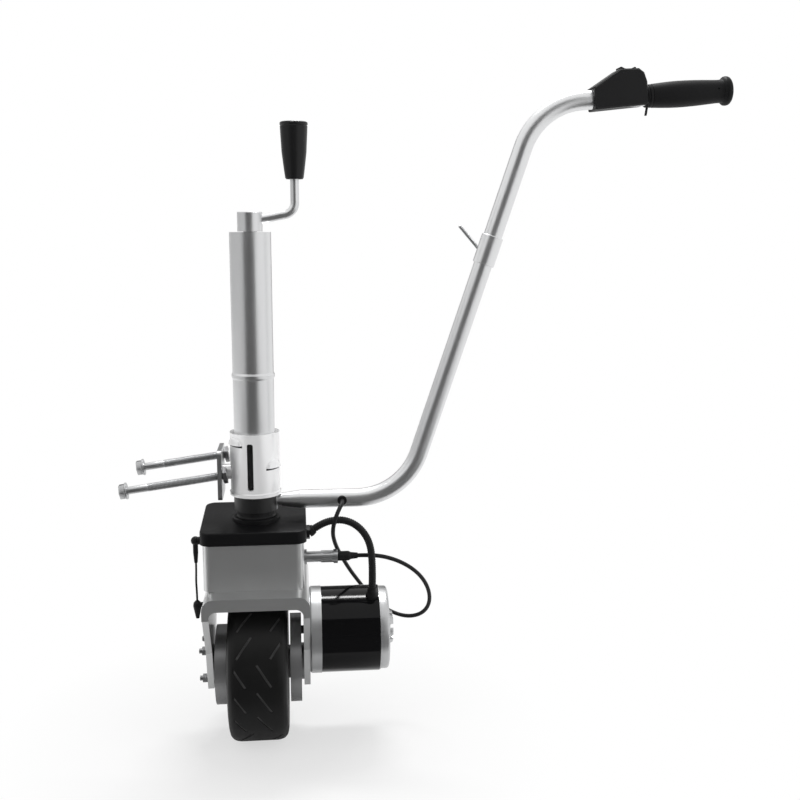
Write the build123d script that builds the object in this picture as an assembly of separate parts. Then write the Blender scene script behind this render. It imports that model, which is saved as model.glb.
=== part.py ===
from build123d import *

import os
from math import acos, atan, cos, hypot, pi, radians, sin, sqrt, tan

# Motorised jockey wheel for a caravan drawbar, in millimetres, +Z up, +X towards the motor.
# Heights below are written above the ground, and X and Y from the mast's axis.
# At the end everything moves so that the origin is the middle of the drawbar plate's outer face.

# Mast: a 48 mm tube with a screw jack inside
MAST_R = 24.0
MAST_BORE_R = 21.5
MAST_TOP = 628.0
MAST_FOOT = 321.0
BEAD_Z = 461.5
COLLAR_R = 29.3
COLLAR_FOOT = 319.0
COLLAR_TOP = 394.5
SLOT_X = (-8.2, -1.2)
SLOT_Z = (328.0, 384.0)

# Jack inside the mast
RAM_R = 21.44
RAM_BORE_R = 18.5
RAM_TOP = 560.0
RAM_FOOT = 320.0
THREAD_PITCH = 5.0
THREAD_TOP = 531.0
THREAD_TURNS = 36
SCREW_R = 8.0
SCREW_FOOT = 345.0
KINGPIN_R = 15.0
KINGPIN_FOOT = 226.0
FIT = 0.05

# Crank on top
CRANK_COLLAR_R = 14.4
CRANK_COLLAR_TOP = 651.0
CRANK_THROW = 52.0
CRANK_ROD_R = 5.0
KNOB_FOOT = 688.0
KNOB_TOP = 752.0

# Drawbar bracket
PIVOT_Z = 346.0
PLATE_BACK = 38.0
PLATE_T = 5.0
PLATE_HALF = 28.0
PLATE_Z = (317.0, 376.0)
BOLT_R = 4.9
SHANK_R = 4.4
BOLT_PLACES = ((-20.0, 345.5, 106.0), (20.0, 362.5, 91.0))
BOLT_DROOP = 8.0
NUT_T = 4.4
PIVOT_R = 6.0
BOSS_R = 9.0

# Drive unit: wheel, fork, box and motor
AXLE_Z = 104.0
TYRE_R = 92.0
TYRE_HALF = 35.5
RIM_R = 58.0
AXLE_R = 6.0
CROWN_Z = (206.0, 213.0)
LIP_Z = 198.5
LIP_T = 5.0
LIP_CORNER_R = 9.0
FLANGE_Z = 188.0
FORK_HALF = 62.0
LEG_T = 7.5
FORK_FRONT = -77.0
FORK_BACK = 70.0
LEG_FOOT = 80.0
BOX_MID = -2.5
BOX_HALF = 59.0
BOX_Y = (-48.5, 58.5)
BOX_TOP = 268.0
LID_HALF = 62.0
LID_Y = (-52.0, 62.0)
LID_TOP = 288.0
CASE_X = (38.0, 51.5)
CASE_R = 48.0
MODULE = 1.5
GEAR_TEETH = 40
PINION_TEETH = 14
PRESSURE_ANGLE = 20.0
TOOTH_SHIFT = 0.25
BACKLASH = 0.06
MOTOR_Z = AXLE_Z + MODULE * (GEAR_TEETH + PINION_TEETH) / 2
MOTOR_R = 52.0
MOTOR_X = (FORK_HALF, 76.0, 146.0, 158.5, 167.0)

NECK_TOP = 317.8
NECK_POCKET_R = 16.8
SHAFT_R = 5.0
DISC_BOLT_R = 3.0
STUD_REACH = 11.0
DISC_BOLTS = ((0.0, AXLE_Z + 17.5), (0.0, AXLE_Z - 17.5))
LEG_SCREW = (-4.0, 139.0)

# Cords and what they plug into
SOCKET_Y = -20.0
SOCKET_Z = 243.5
SOCKET_END = 96.5
GLAND_Y = -22.0
GLAND_Z = 275.0
LEAD_R = 2.5
HOSE_R = 4.5
GLAND_TILT = 32.0
BOOT_LEAN = 23.0
BOOT_X = 137.5
GROMMET_X = 102.8
SIDE_LEAD_R = 1.2
SIDE_LEAD_X = -70.5
SIDE_LEAD_Y = -30.0
KNOB_LEAD_Z = 270.5
SPOUT_FOOT = 244.0
SIDE_BOOT_TOP = 197.0
SCREW_AT = (276.5, 0.0, 601.0)

# Steering handle
TUBE_R = 11.0
TUBE_WALL = 1.5
HANDLE_Z = 310.0
HANDLE_START = 31.0
RISE = (229.3, 461.0)
RISE_SLOPE = 2.97
TOP = (396.7, 780.0)
TOP_SLOPE = 0.075
BEND_R = 80.0
SLEEVE_Z = (590.0, 623.0)
SPIGOT_LENGTH = 62.0
HOUSING_X = (397.0, 461.0)
GRIP_X = (465.0, 568.0)

ORIGIN = (-(PLATE_BACK + PLATE_T), 0.0, PIVOT_Z)

parts = {}


def cyl_z(r, z0, z1, x=0.0, y=0.0):
    return Pos(x, y, (z0 + z1) / 2) * Cylinder(r, z1 - z0)


def cyl_x(r, x0, x1, y=0.0, z=0.0):
    return Pos((x0 + x1) / 2, y, z) * Rot(0, 90, 0) * Cylinder(r, x1 - x0)


def cyl_y(r, y0, y1, x=0.0, z=0.0):
    return Pos(x, (y0 + y1) / 2, z) * Rot(90, 0, 0) * Cylinder(r, y1 - y0)


def block(x0, x1, y0, y1, z0, z1):
    return Pos((x0 + x1) / 2, (y0 + y1) / 2, (z0 + z1) / 2) * Box(x1 - x0, y1 - y0, z1 - z0)


def rod(start, end, r):
    """A round rod between two points."""
    line = Vector(end) - Vector(start)
    return extrude(Plane(origin=start, z_dir=line) * Circle(r), line.length)


def turned(profile, origin=(0, 0, 0), axis=(0, 0, 1)):
    """A turned piece: profile is (radius, distance along the axis) points."""
    outline = Polyline(*[(r, 0, h) for r, h in profile], close=True)
    solid = revolve(make_face(outline), Axis.Z)
    return Plane(origin=origin, z_dir=axis).location * solid


def hexagon(flats, z0, z1):
    """A hexagon head or nut along Z."""
    return extrude(Plane.XY.offset(z0) * RegularPolygon(flats / 2, 6, major_radius=False), z1 - z0)


def hex_x(flats, x0, x1, y, z):
    """A hexagon head or nut along X."""
    return Pos(x0, y, z) * Rot(0, 90, 0) * hexagon(flats, 0, x1 - x0)


def rounded_box(x0, x1, y0, y1, z0, z1, corner):
    """A box with round upright corners."""
    face = Pos((x0 + x1) / 2, (y0 + y1) / 2, z0) * RectangleRounded(x1 - x0, y1 - y0, corner)
    return extrude(face, z1 - z0)


def oblong(r_low, z_low, r_high, z_high, x0, x1):
    """The plate that wraps two circles, one above the other, along X."""
    low = cyl_x(r_low, x0, x1, 0, z_low)
    high = cyl_x(r_high, x0, x1, 0, z_high)
    lean = acos((r_low - r_high) / (z_high - z_low))
    side_y, side_z = sin(lean), cos(lean)
    corners = [
        (r_low * side_y, z_low + r_low * side_z),
        (r_high * side_y, z_high + r_high * side_z),
        (-r_high * side_y, z_high + r_high * side_z),
        (-r_low * side_y, z_low + r_low * side_z),
    ]
    web = extrude(make_face(Polyline(*[(x0, y, z) for y, z in corners], close=True)), x1 - x0, dir=(1, 0, 0))
    return low + high + web


def flank_angle(r, base_r):
    """How far an involute that starts on the base circle has turned by this radius, in radians."""
    roll = sqrt(max(r * r / (base_r * base_r) - 1, 0))
    return roll - atan(roll)


def spur_gear(teeth, shift, x0, x1, z, bore, phase=0.0):
    """A spur gear along X with involute teeth, one of them centred at phase degrees from +Z.

    shift moves the tooth outwards in modules: the pinion's are longer and the wheel's shorter,
    so that the small pinion isn't undercut and the two still run at the standard distance.
    """
    pitch_r = MODULE * teeth / 2
    base_r = pitch_r * cos(radians(PRESSURE_ANGLE))
    root_r = pitch_r - (1.25 - shift) * MODULE
    tip_r = pitch_r + (0.95 + shift) * MODULE
    half_tooth = (pi / 2 + 2 * shift * tan(radians(PRESSURE_ANGLE))) / teeth - BACKLASH / pitch_r
    half_tooth += flank_angle(pitch_r, base_r)
    start_r = max(base_r, root_r)
    steps = [start_r + (tip_r - start_r) * step / 5 for step in range(6)]
    flank = [(r, half_tooth - flank_angle(r, base_r)) for r in steps]
    if root_r < base_r:
        flank.insert(0, (root_r, flank[0][1]))
    points = []
    for tooth in range(teeth):
        middle = 2 * pi * tooth / teeth + radians(phase)
        outline = [(r, middle - angle) for r, angle in flank] + [(r, middle + angle) for r, angle in reversed(flank)]
        points += [(x0, r * sin(angle), z + r * cos(angle)) for r, angle in outline]
    blank = extrude(make_face(Polyline(*points, close=True)), x1 - x0, dir=(1, 0, 0))
    return blank - cyl_x(bore, x0, x1, 0, z)


def round_cord(points, r, name):
    """A cord's tube: straight runs joined by tangent arcs. It prints its radii, length and volume."""
    corners = [Vector(*p) for p in points]
    runs = [b - a for a, b in zip(corners, corners[1:])]
    radii = []
    for before, after in zip(runs, runs[1:]):
        half_turn = radians(before.get_angle(after)) / 2
        radii.append(0.45 * min(before.length, after.length) / tan(half_turn))
    path = FilletPolyline(*points, radius=radii)
    tube = sweep(Plane(origin=path @ 0, z_dir=path % 0) * Circle(r), path=path)
    expected = pi * r * r * path.length
    tight = min(radii)
    print(f"{name}: length {path.length:.0f}, tightest radius {tight:.0f}, volume ratio {tube.volume / expected:.3f}")
    print("  radii", [round(v) for v in radii], "runs", [round(run.length) for run in runs])
    return tube


# Bracket: it bolts to the drawbar and carries everything else

def make_bracket():
    outer = -(PLATE_BACK + PLATE_T)
    plate = block(outer, -PLATE_BACK, -PLATE_HALF, PLATE_HALF, *PLATE_Z)
    plate = fillet(plate.edges().filter_by(Axis.X), 5)
    plate -= cyl_x(PIVOT_R, outer, -PLATE_BACK, 0, PIVOT_Z)
    for y, z, _ in BOLT_PLACES:
        plate -= cyl_x(BOLT_R + 0.9, outer, -PLATE_BACK, y, z)
    parts["drawbar_plate"] = plate
    pin = cyl_x(PIVOT_R, outer, -26.4, 0, PIVOT_Z) + cyl_x(8.0, -26.4, -24.4, 0, PIVOT_Z)
    parts["pivot_pin"] = pin
    bolts, nuts = [], []
    for y, z, reach in BOLT_PLACES:
        # the bolt lies along +Z before it is turned to its drooping direction, with its thread's end up
        place = Pos(-PLATE_BACK, y, z) * Rot(0, 90 - BOLT_DROOP, 0)
        seat = 10.0 * sin(radians(BOLT_DROOP))
        thread_end = seat + NUT_T + 0.3
        head = -PLATE_T - reach
        bolt = cyl_z(BOLT_R, head + 24, thread_end) + cyl_z(SHANK_R, head, head + 24)
        bolt += cyl_z(9.8, head - 2, head) + hexagon(16, head - 8.5, head - 2)
        bolts.append(place * bolt)
        nuts.append(place * (hexagon(17, seat, seat + NUT_T) - cyl_z(BOLT_R, seat, seat + NUT_T)))
    parts["drawbar_bolts"] = Compound(bolts)
    parts["drawbar_nuts"] = Compound(nuts)


def lanced_tab(angle, z, lean):
    """A tab pressed out of the collar's wall, its foot at z and its open end proud of the wall."""
    wedge = block(COLLAR_R - 3.0, COLLAR_R + 2.6, -6.5, 6.5, z, z + 6.0)
    slope = Pos(COLLAR_R + 2.6, 0, z + 6.0) * Rot(0, lean, 0) * Box(6, 14, 16)
    return Rot(0, 0, angle) * (wedge - slope)


def make_mast():
    shell = cyl_z(COLLAR_R, COLLAR_FOOT, COLLAR_TOP)
    lip = cyl_z(COLLAR_R + 1.1, COLLAR_FOOT, COLLAR_FOOT + 5.0)
    lip = chamfer(lip.edges().group_by(Axis.Z)[-1], 1.0)
    collar = shell + lip + cyl_x(BOSS_R, -PLATE_BACK + 0.2, -24, 0, PIVOT_Z)
    collar += lanced_tab(232, 378.0, 30)
    collar += lanced_tab(318, 347.0, 30)
    collar -= cyl_z(MAST_R, COLLAR_FOOT - 1, COLLAR_TOP + 1)
    collar -= cyl_x(PIVOT_R + FIT, -PLATE_BACK, -24, 0, PIVOT_Z) + cyl_x(8.0 + FIT, -26.5, -20, 0, PIVOT_Z)
    slot = block(*SLOT_X, -COLLAR_R - 2, -MAST_BORE_R + 3, *SLOT_Z)
    slot = fillet(slot.edges().filter_by(Axis.Y), 2.5)
    parts["swivel_collar"] = collar - slot
    tube = cyl_z(MAST_R, MAST_FOOT, MAST_TOP)
    bead = turned([(MAST_R - 1, -4), (MAST_R, -4), (MAST_R + 1.2, -1.5), (MAST_R + 1.2, 1.5), (MAST_R, 4), (MAST_R - 1, 4)],
                  (0, 0, BEAD_Z))
    tube = tube + bead - cyl_z(MAST_BORE_R, MAST_FOOT - 1, MAST_TOP + 1) - slot
    parts["mast_tube"] = tube
    cap = cyl_z(MAST_BORE_R, MAST_TOP - 8, MAST_TOP) - cyl_z(SCREW_R + FIT, MAST_TOP - 9, MAST_TOP + 1)
    parts["mast_cap"] = cap
    bearing = cyl_z(16.0, MAST_TOP - 16, MAST_TOP - 8) - cyl_z(SCREW_R + FIT, MAST_TOP - 17, MAST_TOP)
    parts["thrust_bearing"] = bearing


def make_crank():
    arm_points = [(8.0, 0, 641.5), (CRANK_THROW, 0, 650.0), (CRANK_THROW, 0, KNOB_TOP - 14)]
    path = FilletPolyline(*arm_points, radius=14.0)
    arm = sweep(Plane(origin=path @ 0, z_dir=path % 0) * Circle(CRANK_ROD_R), path=path)
    collar = cyl_z(CRANK_COLLAR_R, MAST_TOP + 0.6, CRANK_COLLAR_TOP)
    collar = chamfer(collar.edges().group_by(Axis.Z)[-1], 0.8)
    screw_top = MAST_TOP + 14
    parts["crank_arm"] = arm
    parts["crank_collar"] = collar - arm - cyl_z(SCREW_R, MAST_TOP, screw_top)
    shaft = cyl_z(SCREW_R, SCREW_FOOT, screw_top) - arm
    for turn in range(THREAD_TURNS):
        z = THREAD_TOP - turn * THREAD_PITCH
        shaft -= cyl_z(SCREW_R + 1, z, z + THREAD_PITCH / 2) - cyl_z(SCREW_R - 1.2, z, z + THREAD_PITCH / 2)
    parts["lead_screw"] = shaft + cyl_z(13.0, MAST_TOP - 21, MAST_TOP - 16.1)
    foot = 10.0
    knob = turned([
        (0, KNOB_FOOT), (9.6, KNOB_FOOT), (10.6, KNOB_FOOT + 1.5), (11.8, KNOB_FOOT + foot), (14.2, KNOB_FOOT + 30),
        (15.4, KNOB_FOOT + 52), (15.7, KNOB_TOP - 5), (15.2, KNOB_TOP - 4), (16.0, KNOB_TOP - 3), (15.8, KNOB_TOP - 0.8),
        (14.6, KNOB_TOP), (8.0, KNOB_TOP - 0.8), (0, KNOB_TOP - 1.2),
    ], (CRANK_THROW, 0, 0))
    parts["crank_knob"] = knob - cyl_z(CRANK_ROD_R + FIT, KNOB_FOOT - 1, KNOB_TOP - 13.5, CRANK_THROW)


def make_ram():
    tube = cyl_z(RAM_R, RAM_FOOT, RAM_TOP) - cyl_z(RAM_BORE_R, RAM_FOOT - 1, RAM_TOP + 1)
    parts["ram_tube"] = tube
    nut = cyl_z(RAM_BORE_R, RAM_TOP - 22, RAM_TOP) - cyl_z(SCREW_R + FIT, RAM_TOP - 23, RAM_TOP + 1)
    parts["ram_nut"] = nut
    parts["kingpin"] = cyl_z(RAM_BORE_R, RAM_FOOT, RAM_FOOT + 14) + cyl_z(KINGPIN_R, KINGPIN_FOOT, RAM_FOOT)
    flange = cyl_z(NECK_POCKET_R - 0.6, KINGPIN_FOOT - 3.5, KINGPIN_FOOT)
    parts["kingpin_bolt"] = flange + hexagon(18, KINGPIN_FOOT - 11, KINGPIN_FOOT - 3.5)


# Drive unit

def make_fork():
    """An inverted U of plate with round shoulders, tapering legs and lips turned down front and back."""
    inner = FORK_HALF - LEG_T
    outline = make_face(Polyline(
        (-FORK_HALF, 0, LEG_FOOT), (-FORK_HALF, 0, CROWN_Z[1]), (FORK_HALF, 0, CROWN_Z[1]), (FORK_HALF, 0, LEG_FOOT),
        (inner, 0, LEG_FOOT), (inner, 0, CROWN_Z[0]), (-inner, 0, CROWN_Z[0]), (-inner, 0, LEG_FOOT), close=True))
    depth = FORK_BACK - FORK_FRONT
    shell = extrude(outline, depth, dir=(0, 1, 0)).moved(Pos(0, FORK_FRONT, 0))
    roots = [e for e in shell.edges().filter_by(Axis.Y) if abs(e.center().Z - CROWN_Z[0]) < 0.1]
    shell = fillet(roots, 6)
    for y in (FORK_FRONT, FORK_BACK - LIP_T):
        lip = block(-inner - 1, inner + 1, y, y + LIP_T, LIP_Z, CROWN_Z[0] + 1)
        for side in (-1, 1):
            corner_x = side * (inner - LIP_CORNER_R)
            web = block(min(corner_x, side * (inner + 1)), max(corner_x, side * (inner + 1)), y, y + LIP_T, FLANGE_Z, LIP_Z + 1)
            lip += web - cyl_y(LIP_CORNER_R, y - 1, y + LIP_T + 1, corner_x, LIP_Z - LIP_CORNER_R)
        shell += lip
    shoulders = [e for e in shell.edges().filter_by(Axis.Y) if abs(e.center().Z - CROWN_Z[1]) < 0.1]
    shell = fillet(shoulders, 13)
    side = make_face(Polyline(
        (-80, FORK_FRONT, CROWN_Z[1] + 1), (-80, FORK_FRONT, FLANGE_Z), (-80, FORK_FRONT + LIP_T, FLANGE_Z), (-80, -34, 132),
        (-80, -26, AXLE_Z), (-80, -17, LEG_FOOT), (-80, 17, LEG_FOOT), (-80, 26, AXLE_Z), (-80, 34, 132),
        (-80, FORK_BACK - LIP_T, FLANGE_Z), (-80, FORK_BACK, FLANGE_Z), (-80, FORK_BACK, CROWN_Z[1] + 1), close=True))
    fork = shell & extrude(side, 160, dir=(1, 0, 0))
    fork -= cyl_x(AXLE_R, -80, 80, 0, AXLE_Z) + cyl_x(14.0, inner - 1, FORK_HALF + 1, 0, MOTOR_Z)
    for y, z in DISC_BOLTS:
        fork -= cyl_x(DISC_BOLT_R, -FORK_HALF - 1, -inner + 1, y, z)
    fork -= cyl_x(2.0, -FORK_HALF - 1, -inner + 1, *LEG_SCREW)
    parts["fork"] = fork - cyl_z(NECK_POCKET_R, CROWN_Z[0] - 1, CROWN_Z[1] + 1)
    neck = cyl_z(20.0, CROWN_Z[1], NECK_TOP) - cyl_z(KINGPIN_R + FIT, CROWN_Z[1] - 1, NECK_TOP + 1)
    parts["neck_tube"] = neck - cyl_z(NECK_POCKET_R, CROWN_Z[1] - 1, KINGPIN_FOOT + 0.05)


def make_box():
    left = BOX_MID - BOX_HALF
    right = BOX_MID + BOX_HALF
    front, back = BOX_Y
    box = rounded_box(left, right, front, back, CROWN_Z[1], BOX_TOP, 10)
    box -= rounded_box(left + 2.5, right - 2.5, front + 2.5, back - 2.5, CROWN_Z[1] - 1, BOX_TOP + 1, 7.5)
    box -= cyl_x(5.9, right - 4, right + 1, SOCKET_Y, SOCKET_Z)
    parts["control_box"] = box
    skirt = rounded_box(BOX_MID - LID_HALF, BOX_MID + LID_HALF, *LID_Y, BOX_TOP - 3, LID_TOP - 7, 12)
    crown = rounded_box(BOX_MID - LID_HALF, BOX_MID + LID_HALF, *LID_Y, LID_TOP - 7, LID_TOP, 12)
    crown = fillet(crown.edges().group_by(Axis.Z)[-1], 5)
    lid = skirt + crown + turned([(0, 0), (30, 0), (25, 3.5), (0, 3.5)], (0, 0, LID_TOP))
    lid -= rounded_box(left, right, front, back, BOX_TOP - 4, BOX_TOP, 10)
    lid -= rounded_box(left + 2, right - 2, front + 2, back - 2, BOX_TOP - 1, LID_TOP - 3, 8)
    lid_right = BOX_MID + LID_HALF
    lid -= cyl_x(5.5, lid_right - 6, lid_right + 1, GLAND_Y, GLAND_Z)
    parts["box_lid"] = lid - cyl_z(20.0, BOX_TOP, LID_TOP + 10)
    relays = []
    for y in (-28.0, 38.0):
        can = block(-46, -22, y - 13, y + 13, CROWN_Z[1], CROWN_Z[1] + 32)
        relays.append(fillet(can.edges().filter_by(Axis.Z), 3))
    parts["motor_relays"] = Compound(relays)
    parts["neck_seal"] = turned([(20.0, 0), (23.5, 0), (22.0, 2.5), (21.6, 8.0), (20.0, 8.0)], (0, 0, LID_TOP + 3.5))


# Cords, and what they plug into: each route is a list of the object's own points

def boot_point(out):
    """A point on the motor boot's axis, this far outside the motor's skin."""
    reach = MOTOR_R + out
    return (BOOT_X, -reach * sin(radians(BOOT_LEAN)), MOTOR_Z + reach * cos(radians(BOOT_LEAN)))


def make_motor_lead():
    side = BOX_MID + LID_HALF
    gland = cyl_x(5.5, side - 5, side, GLAND_Y, GLAND_Z) + hex_x(15, side, side + 4, GLAND_Y, GLAND_Z)
    aim = Vector(cos(radians(GLAND_TILT)), 0, sin(radians(GLAND_TILT)))
    nozzle = Vector(side + 3, GLAND_Y, GLAND_Z)
    parts["motor_lead_gland"] = gland + turned([(0, 0), (6.6, 0), (6.6, 3), (5.6, 7), (0, 7)], nozzle, aim)
    axis = Vector(*boot_point(1)) - Vector(*boot_point(0))
    boot = turned([(0, 0), (7.8, 0), (7.4, 4), (5.8, 10), (5.0, 16), (0, 16)], boot_point(-1.5), axis)
    parts["motor_boot"] = boot - cyl_x(MOTOR_R, MOTOR_X[1], MOTOR_X[2], 0, MOTOR_Z)
    route = [
        tuple(nozzle + aim * 7),
        tuple(nozzle + aim * 19),
        (90.5, -22.2, 288.5),
        (102.5, -22.5, 289),
        (114.5, -23, 285),
        (124.5, -24.5, 277.5),
        (132, -27, 267),
        (136, -30, 254.5),
        (137.2, -32, 238.5),
        boot_point(28),
        boot_point(14.5),
    ]
    parts["motor_lead"] = round_cord(route, HOSE_R, "motor_lead")


def make_control_lead():
    wall = BOX_MID + BOX_HALF
    socket = cyl_x(9.0, wall, wall + 3, SOCKET_Y, SOCKET_Z) + cyl_x(5.9, wall - 6, wall, SOCKET_Y, SOCKET_Z)
    parts["control_socket"] = socket + cyl_x(6.4, wall + 3, SOCKET_END - 20, SOCKET_Y, SOCKET_Z)
    ring = cyl_x(7.2, SOCKET_END - 20, SOCKET_END - 5, SOCKET_Y, SOCKET_Z)
    for turn in range(16):
        angle = 2 * pi * turn / 16
        notch_y = SOCKET_Y + 7.3 * cos(angle)
        notch_z = SOCKET_Z + 7.3 * sin(angle)
        ring -= cyl_x(0.6, SOCKET_END - 18, SOCKET_END - 8, notch_y, notch_z)
    parts["coupling_ring"] = ring + cyl_x(8.4, SOCKET_END - 5, SOCKET_END, SOCKET_Y, SOCKET_Z)
    plug = turned([(0, 0), (5.8, 0), (5.8, 13), (4.2, 16), (3.4, 24), (0, 24)], (SOCKET_END, SOCKET_Y, SOCKET_Z), (1, 0, 0))
    parts["control_plug"] = plug
    grommet = cyl_y(5.6, -TUBE_R - 2.4, -TUBE_R + 1.5, GROMMET_X, HANDLE_Z)
    grommet += cyl_y(3.6, -TUBE_R + 1.5, -TUBE_R + 6, GROMMET_X, HANDLE_Z)
    parts["tube_grommet"] = grommet - (cyl_x(TUBE_R, 0, 200, 0, HANDLE_Z) - cyl_x(TUBE_R - TUBE_WALL, 0, 200, 0, HANDLE_Z)
                                       - cyl_y(3.6, -TUBE_R - 1, 0, GROMMET_X, HANDLE_Z))
    route = [
        (SOCKET_END + 24, SOCKET_Y, SOCKET_Z),
        (SOCKET_END + 38, SOCKET_Y, SOCKET_Z),
        (153, -16, 240),
        (173, -11.5, 231.5),
        (191.5, -5, 218),
        (205.5, 4, 200),
        (213, 13, 179.5),
        (212.5, 23, 160),
        (203.5, 34, 145.5),
        (188, 46, 138.5),
        (171, 57, 140),
        (153.5, 64, 149),
        (139, 63, 165),
        (127, 53, 184),
        (115.5, 38, 204),
        (106.5, 20, 223.5),
        (99.5, 3.5, 240),
        (94.5, -10.5, 254.5),
        (91.3, -23.5, 268.3),
        (90.6, -34.5, 279.5),
        (91.8, -38.3, 289),
        (95, -37, 298.5),
        (99, -31.5, 305.8),
        (GROMMET_X, -23.6, HANDLE_Z),
        (GROMMET_X, -TUBE_R - 2.4, HANDLE_Z),
    ]
    parts["control_lead"] = round_cord(route, LEAD_R, "control_lead")


def make_side_lead():
    side = BOX_MID - LID_HALF
    knob = cyl_x(4.6, SIDE_LEAD_X, side, SIDE_LEAD_Y, KNOB_LEAD_Z) + Pos(SIDE_LEAD_X, SIDE_LEAD_Y, KNOB_LEAD_Z) * Sphere(5.2)
    spout = turned([(0, 0), (2.0, 0), (3.0, 12), (3.0, 24), (0, 24)], (SIDE_LEAD_X, SIDE_LEAD_Y, SPOUT_FOOT))
    parts["side_gland"] = knob + spout
    boot = turned([(0, 0), (2.0, 0), (5.0, 15), (4.4, 19), (2.2, 21.5), (0, 21.5)],
                  (SIDE_LEAD_X, SIDE_LEAD_Y, SIDE_BOOT_TOP - 21.5))
    boot += cyl_x(3.0, SIDE_LEAD_X + 1, -FORK_HALF, SIDE_LEAD_Y, SIDE_BOOT_TOP - 5)
    parts["side_boot"] = boot
    route = [
        (SIDE_LEAD_X, SIDE_LEAD_Y, SPOUT_FOOT),
        (SIDE_LEAD_X, SIDE_LEAD_Y, 234.0),
        (SIDE_LEAD_X - 0.6, SIDE_LEAD_Y - 0.3, 221.0),
        (SIDE_LEAD_X, SIDE_LEAD_Y, 207.0),
        (SIDE_LEAD_X, SIDE_LEAD_Y, SIDE_BOOT_TOP),
    ]
    parts["side_lead"] = round_cord(route, SIDE_LEAD_R, "side_lead")


def make_motor():
    front, seam, back, cap_end, boss_end = MOTOR_X
    flange = cyl_x(MOTOR_R + 0.6, front, seam, 0, MOTOR_Z)
    flange = chamfer(flange.edges().group_by(Axis.X)[0], 2)
    flange += cyl_x(14.0, front - LEG_T, front, 0, MOTOR_Z)
    flange -= cyl_x(SHAFT_R + FIT, front - LEG_T - 1, seam + 1, 0, MOTOR_Z)
    parts["motor_flange"] = flange
    can = cyl_x(MOTOR_R, seam, back, 0, MOTOR_Z) - cyl_x(MOTOR_R - 4, seam - 1, back + 1, 0, MOTOR_Z)
    parts["motor_can"] = can
    magnets = []
    for low, high in ((12, 60), (-60, -12)):
        arc = cyl_x(MOTOR_R - 4, seam + 8, back - 16, 0, MOTOR_Z) - cyl_x(MOTOR_R - 11, seam + 7, back - 15, 0, MOTOR_Z)
        magnets.append(arc & block(seam, back, -60, 60, MOTOR_Z + low, MOTOR_Z + high))
    parts["field_magnets"] = Compound(magnets)
    depth = cap_end - back
    cap = turned([(0, 0), (MOTOR_R, 0), (MOTOR_R - 0.4, 3), (MOTOR_R - 2, 7), (MOTOR_R - 5.5, 10.5), (MOTOR_R - 10, depth),
                  (24.5, depth), (23.0, depth + 4.0), (18.0, boss_end - back), (0, boss_end - back)],
                 (back, 0, MOTOR_Z), (1, 0, 0))
    cap -= cyl_x(SHAFT_R + FIT, back - 1, cap_end, 0, MOTOR_Z)
    for turn in range(8):
        angle = 2 * pi * (turn + 0.5) / 8
        outer_end = (cap_end + 0.5, 27 * cos(angle), MOTOR_Z + 27 * sin(angle))
        inner_end = (cap_end + 4.5, 20 * cos(angle), MOTOR_Z + 20 * sin(angle))
        cap -= rod(outer_end, inner_end, 2.4)
    parts["motor_end_cap"] = cap
    armature = cyl_x(SHAFT_R, 40.0, cap_end - 1, 0, MOTOR_Z) + cyl_x(38.0, seam + 10, back - 18, 0, MOTOR_Z)
    armature += cyl_x(16.0, back - 18, back - 5, 0, MOTOR_Z)
    for turn in range(12):
        angle = 2 * pi * turn / 12
        slot_y = 38 * cos(angle)
        slot_z = MOTOR_Z + 38 * sin(angle)
        armature -= cyl_x(2.5, seam + 9, back - 17.9, slot_y, slot_z)
    parts["armature"] = armature


def make_gears():
    x0, x1 = CASE_X
    case = oblong(CASE_R, AXLE_Z, 20.5, MOTOR_Z, x0, x1)
    case -= oblong(CASE_R - 3.5, AXLE_Z, 17.4, MOTOR_Z, x0 + 2.0, x1 - 2.0)
    case -= cyl_x(20.5, x0 - 1, x0 + 3, 0, AXLE_Z)
    case += cyl_x(22.0, x1 - 1, FORK_HALF - LEG_T, 0, AXLE_Z)
    case -= cyl_x(AXLE_R, x0, FORK_HALF, 0, AXLE_Z) + cyl_x(14.0, x1 - 3, FORK_HALF, 0, MOTOR_Z)
    parts["gear_case"] = case
    gap_down = 180.0 / PINION_TEETH
    parts["pinion"] = spur_gear(PINION_TEETH, TOOTH_SHIFT, x0 + 3, x1 - 3, MOTOR_Z, SHAFT_R, gap_down)
    parts["wheel_gear"] = spur_gear(GEAR_TEETH, -TOOTH_SHIFT, x0 + 3, x1 - 3, AXLE_Z, 18.0)


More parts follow.
